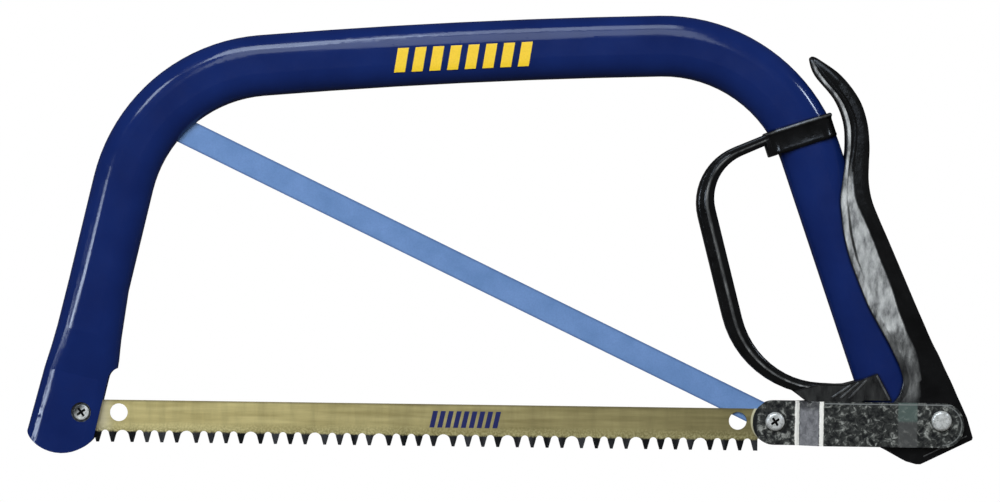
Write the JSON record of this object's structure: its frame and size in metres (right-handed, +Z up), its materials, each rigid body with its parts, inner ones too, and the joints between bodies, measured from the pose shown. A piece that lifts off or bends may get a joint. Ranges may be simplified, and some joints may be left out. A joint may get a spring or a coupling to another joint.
{
  "type": "bow saw",
  "caption": "Compact bow saw with a bent navy tube frame, a raker-tooth blade, a second blade stowed across the throat, a knuckle guard and an over-centre tension lever",
  "frame": {"origin": "middle of the hand grip, between the rear leg and the lever, on the saw's middle plane", "axes": "+X along the wood blade from its front screw towards the back of the handle, +Y across the saw, +Z up from the teeth to the top bar"},
  "size_m": [0.4089, 0.028, 0.1929],
  "materials": {
    "navy_enamel": "glossy stove enamel",
    "straw_steel": "straw-coloured lacquered spring steel with dark hardened teeth",
    "blue_steel": "light blue lacquered steel",
    "dark_plate": "dark textured plating with bare steel at the bends",
    "black_plastic": "glossy black moulding",
    "bright_steel": "bright nickel",
    "plain_steel": "plain turned steel"
  },
  "bodies": {
    "frame": {"frame_tube": "navy_enamel", "front_spacer": "plain_steel", "front_boss": "plain_steel", "front_blade_screw": "bright_steel", "front_lock_washer": "bright_steel", "front_blade_nut": "bright_steel", "knuckle_guard": "black_plastic", "guard_screw": "bright_steel", "lever_pivot_rivet": "bright_steel", "pivot_sleeve": "plain_steel"},
    "lever": {"lever": "black_plastic", "link_bush": "plain_steel"},
    "link": {"link_plate_front": "dark_plate", "link_plate_back": "dark_plate", "rear_blade_screw": "bright_steel", "rear_lock_washer": "bright_steel", "rear_blade_nut": "bright_steel", "link_rivet": "bright_steel"},
    "wood_blade": {"wood_blade": "straw_steel"},
    "hacksaw_blade": {"hacksaw_blade": "blue_steel"}
  },
  "joints": [
    {"name": "lever_hinge", "type": "hinge", "parent": "frame", "child": "lever", "pos_m": [0.023, 0, -0.069], "axis": [0, 1, 0], "range_deg": [0, 75]},
    {"name": "link_hinge", "type": "hinge", "parent": "lever", "child": "link", "pos_m": [0.0372, 0, -0.0665], "axis": [0, 1, 0], "range_deg": [-95, 0]},
    {"name": "wood_blade_hinge", "type": "hinge", "parent": "frame", "child": "wood_blade", "pos_m": [-0.334, -0.0005, -0.068], "axis": [0, 1, 0], "range_deg": [0, 7.85]},
    {"name": "hacksaw_hinge", "type": "hinge", "parent": "link", "child": "hacksaw_blade", "pos_m": [-0.034, 0.0005, -0.068], "axis": [0, 1, 0], "range_deg": [0, 27.2]}
  ],
  "couplings": [
    {"joint": "link_hinge", "follows": "lever_hinge", "ratio": -1.265},
    {"joint": "wood_blade_hinge", "follows": "lever_hinge", "ratio": 0.104},
    {"joint": "hacksaw_hinge", "follows": "lever_hinge", "ratio": 0.3602}
  ]
}
